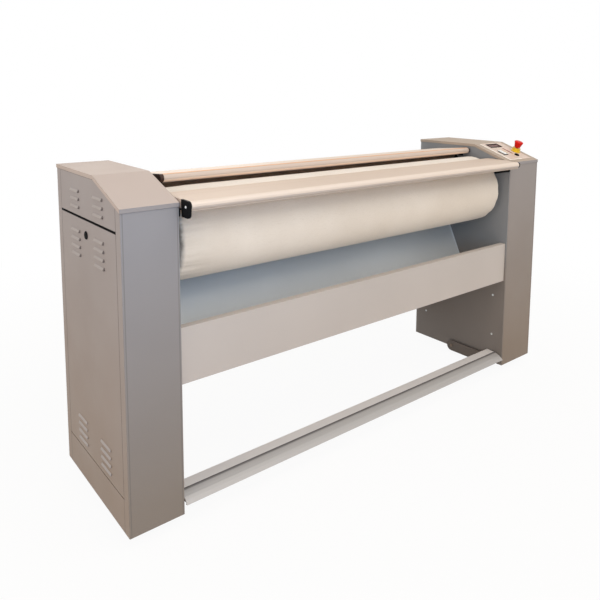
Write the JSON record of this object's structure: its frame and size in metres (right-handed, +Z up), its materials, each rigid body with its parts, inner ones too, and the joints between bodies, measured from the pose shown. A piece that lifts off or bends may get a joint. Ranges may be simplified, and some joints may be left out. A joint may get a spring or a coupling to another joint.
{
  "type": "flatwork ironer",
  "caption": "Free-standing padded-roll flatwork ironer with heated chest, feed board, finger guard, linen chute, foot bar and slanted control console.",
  "frame": {"origin": "middle of the whole box, on the floor under the levelling feet", "axes": "+X to the right seen from the operator's side, -Y towards the operator, +Z up"},
  "size_m": [2.08, 0.6164, 1.0962],
  "materials": {
    "side_paint": "fine textured grey powder coat",
    "lid_paint": "fine textured pale powder coat",
    "inner_paint": "dark grey enamel",
    "cross_paint": "smooth light grey enamel",
    "chute_steel": "fine brushed stainless sheet",
    "board_aluminium": "satin anodised extrusion",
    "bar_aluminium": "satin anodised extrusion",
    "chest_aluminium": "polished where the linen slides",
    "steel": "machined steel",
    "padding_cloth": "heat resistant padding cloth",
    "black_plastic": "moulded black plastic",
    "black_steel": "black enamel",
    "rubber": "moulded rubber pad",
    "red_plastic": "moulded signal red",
    "yellow_plastic": "moulded signal yellow",
    "console_film": "textured cream membrane",
    "window_plastic": "dark tinted window",
    "white_plastic": "moulded white key",
    "motor_paint": "machine enamel",
    "enclosure_plastic": "moulded enclosure"
  },
  "bodies": {
    "frame": {"left_cabinet_shell": "side_paint", "left_cabinet_lid": "lid_paint", "left_upper_panel": "side_paint", "left_front_foot": "rubber", "left_rear_foot": "rubber", "right_cabinet_shell": "side_paint", "right_cabinet_lid": "lid_paint", "right_upper_panel": "side_paint", "right_front_foot": "rubber", "right_rear_foot": "rubber", "left_bearing_block": "motor_paint", "right_bearing_block": "motor_paint", "feed_board": "board_aluminium", "feed_board_left_cap": "black_plastic", "feed_board_right_cap": "black_plastic", "feed_board_left_bracket": "black_steel", "feed_board_right_bracket": "black_steel", "finger_guard_left_bracket": "black_steel", "finger_guard_right_bracket": "black_steel", "finger_guard_left_stop": "black_steel", "finger_guard_right_stop": "black_steel", "front_cross_panel": "cross_paint", "linen_chute": "chute_steel", "rear_cover": "side_paint", "rear_cross_beam": "inner_paint", "worm_reducer": "motor_paint", "drive_motor": "motor_paint", "control_box": "enclosure_plastic", "cable_gland": "black_plastic", "suction_fan_housing": "cross_paint", "console_film": "console_film", "display_window": "window_plastic", "emergency_stop_collar": "yellow_plastic"},
    "roll": {"roll_drum": "steel", "roll_padding": "padding_cloth", "roll_idle_journal": "steel", "roll_drive_journal": "steel"},
    "chest": {"heated_chest": "chest_aluminium", "chest_jacket": "steel", "heating_element": "steel", "chest_left_arm": "inner_paint", "chest_right_arm": "inner_paint", "chest_pivot_shaft": "steel"},
    "pedal": {"foot_bar": "bar_aluminium", "pedal_left_arm": "inner_paint", "pedal_right_arm": "inner_paint"},
    "link_rod": {"pedal_link_rod": "steel"},
    "guard": {"finger_guard": "board_aluminium", "finger_guard_left_cap": "black_plastic", "finger_guard_right_cap": "black_plastic"},
    "left_panel": {"left_service_panel": "side_paint"},
    "right_panel": {"right_service_panel": "side_paint"},
    "left_lock": {"left_panel_lock": "black_plastic"},
    "right_lock": {"right_panel_lock": "black_plastic"},
    "key": {"start_key": "white_plastic"},
    "button": {"roll_button": "black_plastic"},
    "stop_head": {"emergency_stop_head": "red_plastic"},
    "fan_wheel": {"suction_fan_wheel": "black_plastic"}
  },
  "joints": [
    {"name": "roll_spin", "type": "hinge", "parent": "frame", "child": "roll", "pos_m": [-0.025, -0.07284, 0.873], "axis": [1, 0, 0], "continuous": true},
    {"name": "chest_swing", "type": "hinge", "parent": "frame", "child": "chest", "pos_m": [-0.025, 0.00216, 0.432], "axis": [1, 0, 0], "range_deg": [0, 1.85]},
    {"name": "pedal_press", "type": "hinge", "parent": "frame", "child": "pedal", "pos_m": [-0.025, 0.02916, 0.048], "axis": [1, 0, 0], "range_deg": [0, 4.49]},
    {"name": "link_rod_swing", "type": "hinge", "parent": "pedal", "child": "link_rod", "pos_m": [-0.8435, 0.08216, 0.045], "axis": [1, 0, 0], "range_deg": [-4.49, 0]},
    {"name": "guard_lift", "type": "hinge", "parent": "frame", "child": "guard", "pos_m": [-0.025, 0.12966, 1.03336], "axis": [1, 0, 0], "range_deg": [-6, 0]},
    {"name": "left_panel_tilt", "type": "hinge", "parent": "frame", "child": "left_panel", "pos_m": [-1.0365, 0.00916, 0.147], "axis": [0, -1, 0], "range_deg": [0, 15]},
    {"name": "right_panel_tilt", "type": "hinge", "parent": "frame", "child": "right_panel", "pos_m": [1.0365, 0.00916, 0.147], "axis": [0, 1, 0], "range_deg": [0, 15]},
    {"name": "left_lock_turn", "type": "hinge", "parent": "left_panel", "child": "left_lock", "pos_m": [-1.0295, 0.01316, 0.886], "axis": [1, 0, 0], "range_deg": [0, 90]},
    {"name": "right_lock_turn", "type": "hinge", "parent": "right_panel", "child": "right_lock", "pos_m": [1.0295, 0.01316, 0.886], "axis": [1, 0, 0], "range_deg": [0, 90]},
    {"name": "start_key_press", "type": "slide", "parent": "frame", "child": "key", "axis": [0, 0.3417, -0.9398], "range_m": [0, 0.002], "stiffness_N_per_m": 1200, "springref_m": -0.0006},
    {"name": "roll_button_press", "type": "slide", "parent": "frame", "child": "button", "axis": [0, 0.3417, -0.9398], "range_m": [0, 0.003], "stiffness_N_per_m": 900, "springref_m": -0.0008},
    {"name": "emergency_stop_press", "type": "slide", "parent": "frame", "child": "stop_head", "axis": [0, 0.3417, -0.9398], "range_m": [0, 0.005]},
    {"name": "fan_spin", "type": "hinge", "parent": "frame", "child": "fan_wheel", "pos_m": [-0.9418, 0.04416, 0.34], "axis": [1, 0, 0], "continuous": true}
  ],
  "couplings": [
    {"joint": "pedal_press", "follows": "chest_swing", "ratio": 2.411},
    {"joint": "link_rod_swing", "follows": "chest_swing", "ratio": -2.411}
  ]
}
